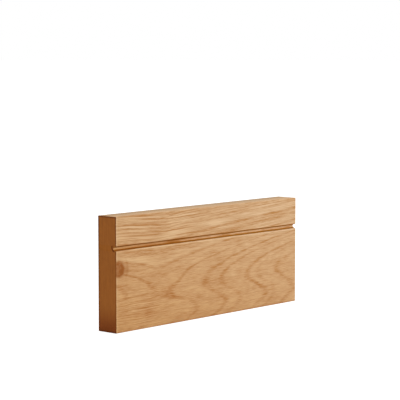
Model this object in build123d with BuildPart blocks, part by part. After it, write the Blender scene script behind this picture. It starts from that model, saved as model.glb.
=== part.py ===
from build123d import *

import os
from math import cos, radians, sin, tan

# A short length of door architrave: one solid oak board with a single decorative
# groove run along its show face. The section is a flat rectangle with lightly eased
# long edges and a flat back, and both ends are sawn square.
#
# The groove lies a little over a quarter of the way down from the upper edge. It has
# the form of a round-nosed cutter: a rounded root between two walls that lean outwards
# to the face. Its upper lip is crisp, and its lower lip is softened.
#
# Frame, in millimetres: X runs along the length, Y through the thickness and Z up the
# width of the board, which stands on one long edge with the groove near the other.
# The show face looks towards -Y. The origin is the middle of the edge it stands on.

# Board
LENGTH = 172.0
WIDTH = 70.0
THICKNESS = 15.0
EDGE_RADIUS = 0.4

# Groove in the show face
GROOVE_SETBACK = 19.1  # from the upper edge down to the groove's centre line
GROOVE_DEPTH = 2.3
GROOVE_NOSE_RADIUS = 1.15
GROOVE_LEAN = 14.0  # degrees that each wall opens out from square
UPPER_LIP_RADIUS = 0.2
LOWER_LIP_RADIUS = 0.5

# The groove's outline, as places across the thickness and up the width.
show_face = -THICKNESS / 2
groove_height = WIDTH - GROOVE_SETBACK
nose_centre = show_face + GROOVE_DEPTH - GROOVE_NOSE_RADIUS
lean = radians(GROOVE_LEAN)
wall_depth = GROOVE_DEPTH - GROOVE_NOSE_RADIUS * (1 - sin(lean))
half_mouth = GROOVE_NOSE_RADIUS * cos(lean) + wall_depth * tan(lean)
upper_lip = (show_face, groove_height + half_mouth)
lower_lip = (show_face, groove_height - half_mouth)
nose_sweep = 90 - GROOVE_LEAN

with BuildPart() as architrave:
    with BuildSketch(Plane.YZ.offset(-LENGTH / 2)) as section:
        with Locations((0, WIDTH / 2)):
            Rectangle(THICKNESS, WIDTH)
        fillet(section.vertices(), EDGE_RADIUS)
        with BuildLine():
            nose = CenterArc(
                (nose_centre, groove_height), GROOVE_NOSE_RADIUS, -nose_sweep, 2 * nose_sweep
            )
            Polyline(nose @ 1, upper_lip, lower_lip, nose @ 0)
        make_face(mode=Mode.SUBTRACT)
        fillet(section.vertices().sort_by_distance(upper_lip)[0], UPPER_LIP_RADIUS)
        fillet(section.vertices().sort_by_distance(lower_lip)[0], LOWER_LIP_RADIUS)
    extrude(amount=LENGTH)

architrave.part.label = "architrave"

os.makedirs("parts", exist_ok=True)
export_step(architrave.part, "parts/architrave.step")
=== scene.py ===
import math

import bpy
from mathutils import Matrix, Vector


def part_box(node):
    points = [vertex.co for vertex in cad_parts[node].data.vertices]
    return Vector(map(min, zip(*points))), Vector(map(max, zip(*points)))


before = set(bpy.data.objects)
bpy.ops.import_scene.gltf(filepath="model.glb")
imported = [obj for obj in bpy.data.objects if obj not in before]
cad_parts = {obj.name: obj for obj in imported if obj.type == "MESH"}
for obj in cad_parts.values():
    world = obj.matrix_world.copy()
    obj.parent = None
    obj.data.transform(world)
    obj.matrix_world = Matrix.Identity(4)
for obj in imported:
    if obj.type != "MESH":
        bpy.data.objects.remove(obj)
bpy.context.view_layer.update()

# The looks of a short length of oak door architrave: its wood, the floor, the light
# and the camera. Lengths are metres, but the wood's own figure is laid out in
# millimetres: x runs along from the left end, y in from the show face and z up from
# the bottom edge.

low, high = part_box("architrave")
MM = 0.001
THICKNESS = (high.y - low.y) / MM
HEIGHT = (high.z - low.z) / MM
GROOVE_SETBACK = 19.1  # from the upper edge down to the groove's centre line
GROOVE_UP = HEIGHT - GROOVE_SETBACK


# Numbers that vary over a surface, written as sums and made as shader nodes.


class Field:
    """A number at each point of the surface, as a socket of the material's nodes."""

    def __init__(self, tree, socket):
        self.tree = tree
        self.socket = socket

    def math(self, operation, *others):
        node = self.tree.nodes.new("ShaderNodeMath")
        node.operation = operation
        for socket, value in zip(node.inputs, (self, *others)):
            join(self.tree, value, socket)
        return Field(self.tree, node.outputs[0])

    def __add__(self, other):
        return self.math("ADD", other)

    def __radd__(self, other):
        return self.math("ADD", other)

    def __sub__(self, other):
        return self.math("SUBTRACT", other)

    def __rsub__(self, other):
        return (self * -1.0) + other

    def __mul__(self, other):
        return self.math("MULTIPLY", other)

    def __truediv__(self, other):
        return self.math("DIVIDE", other)

    def root(self):
        return self.math("SQRT")

    def sine(self):
        return self.math("SINE")

    def size(self):
        return self.math("ABSOLUTE")

    def least(self, other):
        return self.math("MINIMUM", other)

    def most(self, other):
        return self.math("MAXIMUM", other)

    def power(self, other):
        return self.math("POWER", other)

    def ramp(self, start, end):
        """0 up to start and 1 from end, turning smoothly between them."""
        node = self.tree.nodes.new("ShaderNodeMapRange")
        node.interpolation_type = "SMOOTHSTEP"
        join(self.tree, self, node.inputs["Value"])
        node.inputs["From Min"].default_value = min(start, end)
        node.inputs["From Max"].default_value = max(start, end)
        node.inputs["To Min"].default_value = float(start > end)
        node.inputs["To Max"].default_value = float(start < end)
        return Field(self.tree, node.outputs["Result"])

    def bump(self, centre, reach):
        """1 at centre, falling smoothly to 0 at reach on either side."""
        return (self - centre).size().ramp(reach, 0.0)

    def between(self, first, second):
        """first where this is 0 and second where it is 1."""
        return self * (second - first) + first


def join(tree, value, socket):
    """Sets a socket to a plain number, or links a field to it."""
    if isinstance(value, Field):
        tree.links.new(value.socket, socket)
    else:
        socket.default_value = value


def parts(tree, vector):
    """The three numbers of a vector's socket, as fields."""
    node = tree.nodes.new("ShaderNodeSeparateXYZ")
    tree.links.new(vector, node.inputs["Vector"])
    return [Field(tree, socket) for socket in node.outputs]


def diagonal(across, up):
    """The length of the slanted line that goes so far across and so far up."""
    return (across * across + up * up).root()


def blend(tree, share, first, second):
    """The colour that is first where share is 0 and second where it is 1."""
    node = tree.nodes.new("ShaderNodeMix")
    node.data_type = "RGBA"
    node.clamp_factor = True
    join(tree, share, node.inputs["Factor"])
    for socket, colour in zip((node.inputs[6], node.inputs[7]), (first, second)):
        if isinstance(colour, bpy.types.NodeSocket):
            tree.links.new(colour, socket)
        else:
            socket.default_value = (*colour, 1.0)
    return node.outputs[2]


# Noises.

# Each is (blotch along, blotch inwards, blotch up, detail, roughness, seed).
WANDER = (34.0, 20.0, 20.0, 1.0, 0.5, 1.0)
SHIVER = (11.0, 1.0, 0.8, 1.0, 0.5, 2.0)
STRENGTH = (16.0, 8.0, 6.0, 1.0, 0.5, 3.0)
FIBRE = (6.5, 0.38, 0.38, 2.0, 0.65, 4.0)
STREAK = (40.0, 0.42, 0.42, 2.0, 0.5, 5.0)
PATCH = (20.0, 8.0, 5.0, 1.0, 0.5, 6.0)
PORES = (3.0, 1.1, 12.0, 2.0, 0.6, 7.0)
MOTTLE = (2.2, 2.2, 2.2, 1.0, 0.5, 8.0)
VEIN = (45.0, 0.9, 0.9, 1.0, 0.5, 9.0)


def cloud(place, noise):
    """Soft noise from -1 to 1 round 0, in blotches of the noise's own sizes."""
    *blotch, detail, roughness, seed = noise
    tree = place[0].tree
    scaled = tree.nodes.new("ShaderNodeCombineXYZ")
    for part, size, socket in zip(place, blotch, scaled.inputs):
        join(tree, part / size, socket)
    node = tree.nodes.new("ShaderNodeTexNoise")
    node.noise_dimensions = "4D"
    tree.links.new(scaled.outputs["Vector"], node.inputs["Vector"])
    node.inputs["W"].default_value = seed
    node.inputs["Scale"].default_value = 1.0
    node.inputs["Detail"].default_value = detail
    node.inputs["Roughness"].default_value = roughness
    return Field(tree, node.outputs["Fac"]) * 2.0 - 1.0


# Spots on the face.

# Where the rings are bold. This table and the next three hold (along, up, reach along,
# reach up, strength).
BOLD = (
    (52.0, 16.5, 15.0, 8.0, 1.0),
    (133.0, 17.0, 13.0, 8.0, 1.0),
    (143.0, 5.0, 8.0, 7.0, 1.0),
)
# Where the face is darker, or paler if the strength is below 0.
SHADES = (
    (25.0, 11.5, 12.0, 5.5, 0.7),
    (28.0, 9.0, 7.0, 5.0, 0.7),
    (37.0, 33.0, 12.0, 4.0, 0.7),
    (79.0, 22.0, 4.0, 6.0, 0.7),
    (157.0, 24.5, 11.0, 10.0, 0.35),
    (17.0, 42.0, 16.0, 3.4, -1.1),
    (8.0, 54.2, 20.0, 2.2, -1.3),
    (10.0, 46.8, 18.0, 2.2, 0.8),
)
# Where the rings swell, right of the crossing.
SWELL = ((56.0, 28.0, 20.0, 9.0, 0.5),)
# The knot's darkest spot, and the brown beside it.
KNOT_SPOTS = (
    (4.2, 36.6, 2.5, 2.5, 0.25),
    (8.0, 37.5, 6.0, 5.5, 0.3),
)


def spots(place, table):
    """The strengths of a table's spots, each falling smoothly to 0 at its reach."""
    x, _, z = place
    return sum(
        x.bump(along, reach_along) * z.bump(up, reach_up) * strength
        for along, up, reach_along, reach_up, strength in table
    )


# The rings.

# They bend round the heart line, which rises along the board and dips where the rings
# cross near the left end.
HEART_ALONG = 90.0
HEART_UP = 23.4
HEART_RISE = 0.031
HEART_DIP = 2.0
HEART_DIP_REACH = 24.0
HEART_HALF_WIDTH = 1.0

# The rings fall away from the crossing. A span is where a change starts and ends.
CROSSING_ALONG = 38.0
CROSSING_SPAN = (25.0, 42.0)
RIGHT_BEND = 25.0
RIGHT_SLOPE = 0.115
LEFT_BEND = 15.0
LEFT_SLOPE = 0.15
LEFT_SLOPE_BELOW = 0.3  # the share of the left slope that is kept below the heart line
LEFT_SLOPE_SPAN = (1.0, 3.5)

# Above the heart line they make a dish, and below it a wave, with a step at the left.
DISH_LENGTH = 76.6
DISH_FLATTENING = 0.0145
WAVE_REACH = 14.1
WAVE_POWER = 2.17
WAVE_HEIGHT = 2.0
WAVE_AT_LEFT = 0.3
STEP_START = 1.5
STEP_REACH = 2.2
STEP_SLOPE = 0.9
WANDER_HEIGHT = 0.35
SHIVER_HEIGHT = 0.13

# The levels turn back at the lowest and at the highest one.
LOWEST_LEVEL = -12.0
HIGHEST_LEVEL = 28.0

# The dark rings and the pale bands between them, from the deepest to the highest, as
# (level, half width, darkness).
RINGS = (
    (-10.6, 0.6, 0.9),
    (-8.4, 0.5, 0.4),
    (-7.2, 0.55, 1.1),
    (-4.4, 0.5, 0.95),
    (-2.75, 0.55, 1.2),
    (-0.07, 0.35, 1.1),
    (1.3, 0.5, 0.35),
    (3.3, 0.8, 0.8),
    (4.5, 1.0, -0.7),
    (7.4, 1.2, 0.8),
    (8.7, 1.0, 0.8),
    (11.6, 1.2, 1.3),
    (14.8, 2.4, -0.9),
    (17.1, 0.5, 0.9),
    (19.1, 0.5, 0.8),
    (21.0, 0.6, 0.9),
    (23.1, 0.5, 0.8),
    (25.0, 0.5, 0.8),
    (26.8, 0.5, 0.9),
)


def heart_line(x):
    """The height of the line that the rings bend round."""
    straight = (x - HEART_ALONG) * HEART_RISE + HEART_UP
    return straight - x.bump(CROSSING_ALONG, HEART_DIP_REACH) * HEART_DIP


def slope(distance, bend, steepness):
    """A height that starts level, turns upwards over a bend and then climbs evenly."""
    return (diagonal(distance, bend) - bend) * steepness


def fall_from_crossing(x, z, heart):
    """How far the rings have fallen away from the crossing, to its right and left."""
    right = (x - CROSSING_ALONG).most(0.0)
    left = (CROSSING_ALONG - x).most(0.0)
    left_share = (heart - z).ramp(*LEFT_SLOPE_SPAN).between(1.0, LEFT_SLOPE_BELOW)
    return slope(right, RIGHT_BEND, RIGHT_SLOPE) + slope(left, LEFT_BEND, LEFT_SLOPE) * left_share


def ring_darkness(place, heart, away, wander):
    """How dark the rings are. Each one is a level of a height that falls with depth."""
    x, y, z = place
    start, end = CROSSING_SPAN
    above = (z - heart - HEART_HALF_WIDTH).most(0.0)
    below = (heart - HEART_HALF_WIDTH - z).most(0.0)
    dish = above * above / DISH_LENGTH
    wave = (below * (math.pi / 2 / WAVE_REACH)).sine().size().power(WAVE_POWER) * WAVE_HEIGHT
    wave = wave * x.ramp(start, end).between(WAVE_AT_LEFT, 1.0)
    step = (heart - STEP_START - z).most(0.0).least(STEP_REACH) * x.ramp(end, start) * STEP_SLOPE
    fall = away * (1.0 - above * DISH_FLATTENING)
    height = dish + wave + step - fall - y
    height = height + wander * WANDER_HEIGHT + cloud(place, SHIVER) * SHIVER_HEIGHT
    height = height + spots(place, SWELL)
    span = HIGHEST_LEVEL - LOWEST_LEVEL
    level = (height - LOWEST_LEVEL).math("PINGPONG", span) + LOWEST_LEVEL
    return sum(level.bump(mark, half_width) * darkness for mark, half_width, darkness in RINGS)


# The parts of the board and its fibres.

UPPER_SPAN = (GROOVE_UP - 0.9, GROOVE_UP + 1.1)
FRONT_SPAN = (4.0, 3.0)
GROOVE_SPAN = (1.9, 1.5)
GROOVE_SKIN_SPAN = (0.2, 0.7)
EDGE_SPAN = (HEIGHT - 2.0, HEIGHT - 1.0)
EDGE_FACING_SPAN = (0.8, 0.95)
END_FACING_SPAN = (0.7, 0.9)
UPPER_TILT = 0.4
FIBRE_WANDER = (1.5, 1.2)  # below and above the groove


class Wood:
    """The board at each of its points: which part it is, its rings and its fibres."""

    def __init__(self, tree):
        coordinates = tree.nodes.new("ShaderNodeTexCoord")
        metres = parts(tree, coordinates.outputs["Object"])
        self.place = [(part - start) * (1 / MM) for part, start in zip(metres, low)]
        x, y, z = self.place
        facing_x, _, facing_z = parts(tree, coordinates.outputs["Normal"])

        # Each is 1 in its own part of the board and 0 elsewhere: above the groove, near
        # the show face, in the groove, on the upper edge and on the sawn ends.
        self.upper = z.ramp(*UPPER_SPAN)
        self.front = y.ramp(*FRONT_SPAN)
        self.groove = (z - GROOVE_UP).size().ramp(*GROOVE_SPAN) * y.ramp(*GROOVE_SKIN_SPAN)
        self.edge = facing_z.ramp(*EDGE_FACING_SPAN) * z.ramp(*EDGE_SPAN)
        self.sawn = facing_x.size().ramp(*END_FACING_SPAN)

        heart = heart_line(x)
        away = fall_from_crossing(x, z, heart)
        self.wander = cloud(self.place, WANDER)
        self.ring = ring_darkness(self.place, heart, away, self.wander)

        # The fibres are drawn out along the board and turned a little with the rings.
        turned = z - away * self.upper * UPPER_TILT
        turned = turned - self.wander * self.upper.between(*FIBRE_WANDER)
        self.fibre = cloud((x, y, turned), FIBRE)
        self.streak = cloud((x, y, turned), STREAK)
        self.vein = cloud((x, y, turned), VEIN)
        self.patch = cloud(self.place, PATCH)
        self.pores = cloud(self.place, PORES)


# The tone of the planed faces.

# A pair of strengths holds one for the start of its span and one for the end.
DASH_SPAN = (-0.35, 0.45)
DASH_STRENGTH = (0.58, 1.48)
RING_SPAN = (12.0, 27.0)
RING_STRENGTH = (1.05, 1.5)
MEAN_STRENGTH = 0.9
LEAST_STRENGTH = 0.6
RING_OFFSET = 0.35
FIBRE_STRENGTH = (3.5, 2.9)  # below and above the groove
PATCH_STRENGTH = 1.6

# The fine streaks are stronger above the groove, at the left and at the lower left.
STREAK_STRENGTH = 2.5
UPPER_STREAK_SPAN = (80.0, 40.0)
UPPER_STREAK_STRENGTH = (1.6, 5.4)
HIGH_STREAK_SPAN = (34.0, 44.0)
HIGH_STREAK_STRENGTH = 1.6
LOW_LEFT_SPAN = (50.0, 25.0)
LOW_LEFT_UP_SPAN = (26.0, 18.0)
LOW_LEFT_STRENGTH = 3.0
VEIN_SPAN = (90.0, 40.0)
VEIN_STRENGTH = (1.0, 5.6)

# Thin dark lines that run in from the left end, as (height, rise, end).
LINES = (
    (28.4, 0.0, 12.0),
    (19.9, 0.05, 32.0),
    (15.8, 0.0, 16.0),
)
LINE_WANDER = 0.5
LINE_HALF_WIDTH = 0.9
LINE_TAPER = 6.0
LINE_STRENGTH = 1.2

# The painted highlight on the groove's softened lower lip, the painted shade along the foot that
# meets the floor, and the painted highlight along the left corner.
LOWER_LIP_HIGHLIGHT_UP = GROOVE_UP - 1.8
LOWER_LIP_HIGHLIGHT_REACH = 0.8
LOWER_LIP_HIGHLIGHT_LEFT_SPAN = (6.0, 22.0)
LOWER_LIP_HIGHLIGHT_SPAN = (90.0, 70.0)
LOWER_LIP_HIGHLIGHT_STRENGTH = (2.0, 3.2)
FOOT_SHADE_SPAN = (1.4, 0.0)
FOOT_SHADE_STRENGTH = 2.0
CORNER_HIGHLIGHT_SPAN = (2.0, 0.8)


def face_tone(wood):
    """How dark the planed faces are, round a middle tone of 0, with a painted highlight on the
    groove's lower lip and along the left edge, and painted shade along the bottom edge.
    """
    x, _, z = wood.place

    # A ring is a row of dashes, because its pores are cut lengthwise.
    strength = cloud(wood.place, STRENGTH) + MEAN_STRENGTH + spots(wood.place, BOLD)
    dashes = wood.fibre.ramp(*DASH_SPAN).between(*DASH_STRENGTH)
    rings = wood.ring * dashes * z.ramp(*RING_SPAN).between(*RING_STRENGTH)
    tone = rings * strength.most(LEAST_STRENGTH) - RING_OFFSET

    upper_streaks = wood.upper * x.ramp(*UPPER_STREAK_SPAN).between(*UPPER_STREAK_STRENGTH)
    high_streaks = z.ramp(*HIGH_STREAK_SPAN) * HIGH_STREAK_STRENGTH
    low_left = x.ramp(*LOW_LEFT_SPAN) * z.ramp(*LOW_LEFT_UP_SPAN) * LOW_LEFT_STRENGTH
    streaks = upper_streaks + high_streaks + low_left + STREAK_STRENGTH
    veins = wood.upper * x.ramp(*VEIN_SPAN).between(*VEIN_STRENGTH)
    tone = tone + wood.fibre * wood.upper.between(*FIBRE_STRENGTH) + wood.patch * PATCH_STRENGTH
    tone = tone + wood.streak * streaks + wood.vein * veins
    tone = tone + spots(wood.place, SHADES)
    for height, rise, end in LINES:
        line = (z - x * rise + wood.wander * LINE_WANDER).bump(height, LINE_HALF_WIDTH)
        tone = tone + line * x.ramp(end, end - LINE_TAPER) * wood.front * LINE_STRENGTH

    # Painted highlights make the lip and the corner pale, and painted shade makes the foot dark.
    lip = z.bump(LOWER_LIP_HIGHLIGHT_UP, LOWER_LIP_HIGHLIGHT_REACH) * wood.front * x.ramp(*LOWER_LIP_HIGHLIGHT_LEFT_SPAN)
    lip = lip * x.ramp(*LOWER_LIP_HIGHLIGHT_SPAN).between(*LOWER_LIP_HIGHLIGHT_STRENGTH)
    # Painted shade along the bottom edge, where the board meets the floor.
    foot_shade = z.ramp(*FOOT_SHADE_SPAN) * FOOT_SHADE_STRENGTH
    # A painted highlight along the show face's left corner.
    corner_highlight = x.ramp(*CORNER_HIGHLIGHT_SPAN) * wood.front
    return tone - lip + foot_shade - corner_highlight


# The knot at the left.

KNOT_ALONG = 2.0
KNOT_UP = 38.2
KNOT_TAPER = 0.7
CORE_SPAN = (6.3, 3.4)
CORE_SHARE = 0.72
CORE_MOTTLE = 0.4
INNER_RING = (4.0, 1.6)  # radius and half width, as in the next ring
INNER_RING_SHARE = 0.15
OUTER_RING = (8.0, 1.5)
OUTER_RING_SPAN = (7.0, 9.0)
OUTER_RING_SHARE = 0.2
HALO_SPAN = (9.5, 5.5)
HALO_SHARE = 0.1


def knot_share(wood):
    """How much of the knot's colour shows: a mottled core, two rings and a halo."""
    x, y, z = wood.place
    radius = diagonal(x - KNOT_ALONG, z - KNOT_UP) + wood.patch + y * KNOT_TAPER
    core = radius.ramp(*CORE_SPAN) * (cloud(wood.place, MOTTLE) * CORE_MOTTLE + CORE_SHARE)
    inner_ring = radius.bump(*INNER_RING) * INNER_RING_SHARE
    outer_ring = radius.bump(*OUTER_RING) * x.ramp(*OUTER_RING_SPAN) * OUTER_RING_SHARE
    halo = radius.ramp(*HALO_SPAN) * HALO_SHARE
    return core + inner_ring + outer_ring + halo + spots(wood.place, KNOT_SPOTS) * wood.front


# The groove, which is browner than the face, with painted shade on its flank walls and under its
# upper lip.

# Painted shade in the groove: none in its middle, full on each flank wall.
FLANK_SHADE_SPAN = (0.45, 0.8)
FLANK_SHADE_SHARE = 1.05
FLANK_SHADE_OFFSET = 0.05
# Where the whole groove is darker, as (along, reach, share).
DARK_STRETCHES = (
    (52.0, 12.0, 0.75),
    (104.0, 8.0, 0.4),
)
LEFT_STRETCH_SPAN = (28.0, 8.0)
LEFT_STRETCH_SHARE = 0.35
# Painted shade just under the groove's upper lip.
UPPER_LIP_SHADE_UP = GROOVE_UP + 1.35
UPPER_LIP_SHADE_REACH = 0.65
UPPER_LIP_SHADE_SPAN = (40.0, 80.0)
UPPER_LIP_SHADE_SHARE = (0.72, 1.37)


def groove_brown_and_shade_share(wood):
    """How much of the groove's brown and painted shade shows: painted shade on each flank wall and
    under the upper lip, and darker stretches along it.
    """
    x, _, z = wood.place
    flank_shade = (z - GROOVE_UP).size().ramp(*FLANK_SHADE_SPAN) * FLANK_SHADE_SHARE
    stretches = sum(x.bump(along, reach) * share for along, reach, share in DARK_STRETCHES)
    left_stretch = x.ramp(*LEFT_STRETCH_SPAN) * LEFT_STRETCH_SHARE
    inside = wood.groove * (flank_shade + stretches + left_stretch - FLANK_SHADE_OFFSET)
    lip = x.ramp(*UPPER_LIP_SHADE_SPAN).between(*UPPER_LIP_SHADE_SHARE) * z.bump(UPPER_LIP_SHADE_UP, UPPER_LIP_SHADE_REACH)
    return inside.most(lip) * wood.front


# The sawn ends.

NOTCH_IN = 1.2
NOTCH_UP = GROOVE_UP + 0.7
NOTCH_RIM = (2.35, 0.9)  # radius and half width
NOTCH_UP_SPAN = (GROOVE_UP + 2.1, GROOVE_UP + 1.1)
NOTCH_IN_SPAN = (1.0, 1.8)
ARRIS_SPAN = (1.1, 0.4)
ARRIS_UP_SPAN = (42.0, 48.0)
ARRIS_SHARE = (0.35, 0.65)
END_SHARE = 0.05
END_RING_SHARE = 0.04
END_PORES_SHARE = 0.3
END_PATCH_SHARE = 0.15
BACK_BORDER_SPAN = (THICKNESS - 1.8, THICKNESS - 0.5)
TOP_BORDER_SPAN = (HEIGHT - 1.3, HEIGHT - 0.5)
# The bottom border of the ends is painted shade near the floor.
FOOT_SHADE_BORDER_SPAN = (1.6, 0.6)
BORDER_SHARE = 0.6


def end_share(wood):
    """How much of the ends' dark colour shows: their pores, rims and borders, with painted shade
    along the bottom border.
    """
    _, y, z = wood.place
    rim = diagonal(y - NOTCH_IN, z - NOTCH_UP).bump(*NOTCH_RIM)
    rim = rim * z.ramp(*NOTCH_UP_SPAN) * y.ramp(*NOTCH_IN_SPAN)
    arris = y.ramp(*ARRIS_SPAN) * z.ramp(*ARRIS_UP_SPAN).between(*ARRIS_SHARE)
    grain = wood.ring * END_RING_SHARE + wood.pores * END_PORES_SHARE
    grain = grain + wood.patch * END_PATCH_SHARE + rim + arris + END_SHARE
    border = y.ramp(*BACK_BORDER_SPAN).most(z.ramp(*TOP_BORDER_SPAN))
    # The bottom border is painted shade.
    border = border.most(z.ramp(*FOOT_SHADE_BORDER_SPAN))
    return grain.most(0.0) + border * BORDER_SHARE


# The oak.

# Colours, as linear red, green and blue.
WARM_LIGHT = (0.675, 0.3965, 0.164)
WARM_DARK = (0.418, 0.1545, 0.032)
PALE_LIGHT = (0.712, 0.486, 0.283)
PALE_DARK = (0.439, 0.188, 0.040)
KNOT_COLOUR = (0.31, 0.088, 0.003)
# The groove's browner wood with painted shade in it, the second one darker towards the left.
GROOVE_BROWN_AND_SHADE_COLOUR = (0.405, 0.155, 0.011)
GROOVE_DEEP_BROWN_AND_SHADE_COLOUR = (0.34, 0.105, 0.002)
# The upper edge's wood with a painted sheen, paler and greyer where it faces up, at its front and
# at its back.
TOP_WOOD_AND_SHEEN_COLOUR = (0.65, 0.43, 0.245)
TOP_BACK_WOOD_AND_SHEEN_COLOUR = (0.40, 0.272, 0.157)
END_COLOUR = (0.47, 0.15, 0.022)
# Painted shade low on the sawn ends, near the floor.
END_LOW_SHADE_COLOUR = (0.31, 0.070, 0.006)
END_DARK_COLOUR = (0.17, 0.036, 0.002)

# The face goes from warm to pale over this height and over this length.
PALE_HEIGHT = 100.0
PALE_LENGTH = 300.0
PALE_OFFSET = 0.07
PALE_PATCH = 0.2
WARM_GROOVE_SPAN = (90.0, 10.0)
WARM_GROOVE = 0.8
TONE_RANGE = 4.8
TONE_MIDDLE = 0.5
DEEP_SPAN = (120.0, 5.0)
# Where the painted sheen turns from the front to the back of the upper edge, and how much of it
# shows.
TOP_SHEEN_BACK_SPAN = (2.0, THICKNESS - 1.0)
TOP_SHEEN_SHARE = 0.7
# Over this height the ends darken with painted shade towards the floor.
END_LOW_SHADE_SPAN = (17.0, 1.0)

RELIEF_STRENGTH = 0.25
RELIEF_DEPTH = 0.1 * MM
STREAK_RELIEF = 0.5
ROUGHNESS = 0.5
FIBRE_ROUGHNESS = 0.15
CUT_ROUGHNESS = 0.3
SPECULAR = 0.25


def oak_colour(tree, wood):
    """The colour of the planed faces, the knot, the groove, the upper edge and the ends, with
    painted shade in the groove and low on the ends, painted highlights on the face and a painted
    sheen on the upper edge.
    """
    x, y, z = wood.place
    paleness = z / PALE_HEIGHT + x / PALE_LENGTH - PALE_OFFSET + wood.patch * PALE_PATCH
    paleness = paleness - wood.groove * x.ramp(*WARM_GROOVE_SPAN) * WARM_GROOVE
    light = blend(tree, paleness, WARM_LIGHT, PALE_LIGHT)
    dark = blend(tree, paleness, WARM_DARK, PALE_DARK)
    side = blend(tree, face_tone(wood) / TONE_RANGE + TONE_MIDDLE, light, dark)
    side = blend(tree, knot_share(wood), side, KNOT_COLOUR)
    # The groove gets its browner wood with painted shade on each flank wall and under the upper
    # lip.
    groove_brown_and_shade = blend(tree, x.ramp(*DEEP_SPAN), GROOVE_BROWN_AND_SHADE_COLOUR, GROOVE_DEEP_BROWN_AND_SHADE_COLOUR)
    side = blend(tree, groove_brown_and_shade_share(wood), side, groove_brown_and_shade)
    # Where it faces up, the upper edge gets a painted sheen over its wood.
    top_wood_and_sheen = blend(tree, y.ramp(*TOP_SHEEN_BACK_SPAN), TOP_WOOD_AND_SHEEN_COLOUR, TOP_BACK_WOOD_AND_SHEEN_COLOUR)
    side = blend(tree, wood.edge * TOP_SHEEN_SHARE, side, top_wood_and_sheen)
    # The sawn ends get painted shade towards their bottom.
    end = blend(tree, z.ramp(*END_LOW_SHADE_SPAN), END_COLOUR, END_LOW_SHADE_COLOUR)
    end = blend(tree, end_share(wood), end, END_DARK_COLOUR)
    return blend(tree, wood.sawn, side, end)


def oak():
    """Flat-sawn oak whose rings run through the board, lying along X."""
    material = bpy.data.materials.new("oak")
    material.use_nodes = True
    tree = material.node_tree
    shader = tree.nodes["Principled BSDF"]
    wood = Wood(tree)
    tree.links.new(oak_colour(tree, wood), shader.inputs["Base Color"])

    relief = tree.nodes.new("ShaderNodeBump")
    relief.inputs["Strength"].default_value = RELIEF_STRENGTH
    relief.inputs["Distance"].default_value = RELIEF_DEPTH
    height = wood.pores * wood.sawn - wood.fibre - wood.streak * STREAK_RELIEF
    join(tree, height, relief.inputs["Height"])
    tree.links.new(relief.outputs["Normal"], shader.inputs["Normal"])

    cut = wood.sawn + wood.edge + wood.groove
    roughness = wood.fibre * FIBRE_ROUGHNESS + cut * CUT_ROUGHNESS + ROUGHNESS
    join(tree, roughness, shader.inputs["Roughness"])
    shader.inputs["Specular IOR Level"].default_value = SPECULAR
    return material


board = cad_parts["architrave"]
board.material_slots[0].material = oak()


# The floor and the room.

# The camera sees both as plain white, and the board gets a quieter light from them.
ROOM_LIGHT = 0.36
FLOOR_GLOW = 0.86
FLOOR_COLOUR = (0.5, 0.5, 0.5)
FLOOR_ROUGHNESS = 0.9
FLOOR_SIZE = 60.0
FLOOR_GAP = 0.05 * MM
WHITE = (1.0, 1.0, 1.0, 1.0)


def seen(tree):
    """1 for what the camera sees straight, and 0 for light that lands on the board."""
    return Field(tree, tree.nodes.new("ShaderNodeLightPath").outputs["Is Camera Ray"])


def floor():
    """A wide pale floor under the board."""
    bpy.ops.mesh.primitive_plane_add(size=FLOOR_SIZE, location=(0.0, 0.0, low.z - FLOOR_GAP))
    plane = bpy.context.object
    plane.name = "floor"
    material = bpy.data.materials.new("floor")
    material.use_nodes = True
    tree = material.node_tree
    shader = tree.nodes["Principled BSDF"]
    shader.inputs["Base Color"].default_value = (*FLOOR_COLOUR, 1.0)
    shader.inputs["Roughness"].default_value = FLOOR_ROUGHNESS
    shader.inputs["Specular IOR Level"].default_value = 0.0
    shader.inputs["Emission Color"].default_value = WHITE
    join(tree, seen(tree) * FLOOR_GLOW, shader.inputs["Emission Strength"])
    plane.data.materials.append(material)


def room():
    """An even white room."""
    world = bpy.data.worlds.new("room")
    bpy.context.scene.world = world
    world.use_nodes = True
    tree = world.node_tree
    background = tree.nodes["Background"]
    background.inputs["Color"].default_value = WHITE
    join(tree, seen(tree).between(ROOM_LIGHT, 1.0), background.inputs["Strength"])
    bpy.context.scene.view_settings.view_transform = "Standard"


floor()
room()


# The lamps.

# Each is (name, place, size in metres, power in watts).
LAMPS = (
    ("key", (0.55, -1.25, 0.50), 0.5, 14.5),
    ("top_wood_and_sheen", (0.2, 0.3, 1.2), 0.9, 7.0),
    ("side", (-1.3, 0.3, 0.4), 0.8, 3.0),
)


def lamp(name, place, size, power):
    """A square soft box that looks at the board's middle."""
    data = bpy.data.lights.new(name, "AREA")
    data.size = size
    data.energy = power
    made = bpy.data.objects.new(name, data)
    bpy.context.scene.collection.objects.link(made)
    made.location = place
    aim = Vector((0.0, 0.0, (low.z + high.z) / 2)) - made.location
    made.rotation_euler = aim.to_track_quat("-Z", "Y").to_euler()


for row in LAMPS:
    lamp(*row)


# The camera, at the photograph's place.

CAMERA_PLACE = (-0.7616, -0.6728, 0.1662)
CAMERA_YAW = math.radians(48.452)
CAMERA_DROP = math.radians(5.193)
FOCAL_PIXELS = 1605.9
FRAME_PIXELS = 400
SENSOR = 36.0  # millimetres


def camera():
    """A long lens, well back from the board and a little above it."""
    data = bpy.data.cameras.new("camera")
    data.sensor_width = SENSOR
    data.lens = FOCAL_PIXELS / FRAME_PIXELS * SENSOR
    made = bpy.data.objects.new("camera", data)
    bpy.context.scene.collection.objects.link(made)
    made.location = CAMERA_PLACE
    level = math.cos(CAMERA_DROP)
    look = Vector(
        (
            math.sin(CAMERA_YAW) * level,
            math.cos(CAMERA_YAW) * level,
            -math.sin(CAMERA_DROP),
        )
    )
    made.rotation_euler = look.to_track_quat("-Z", "Y").to_euler()
    bpy.context.scene.camera = made


camera()
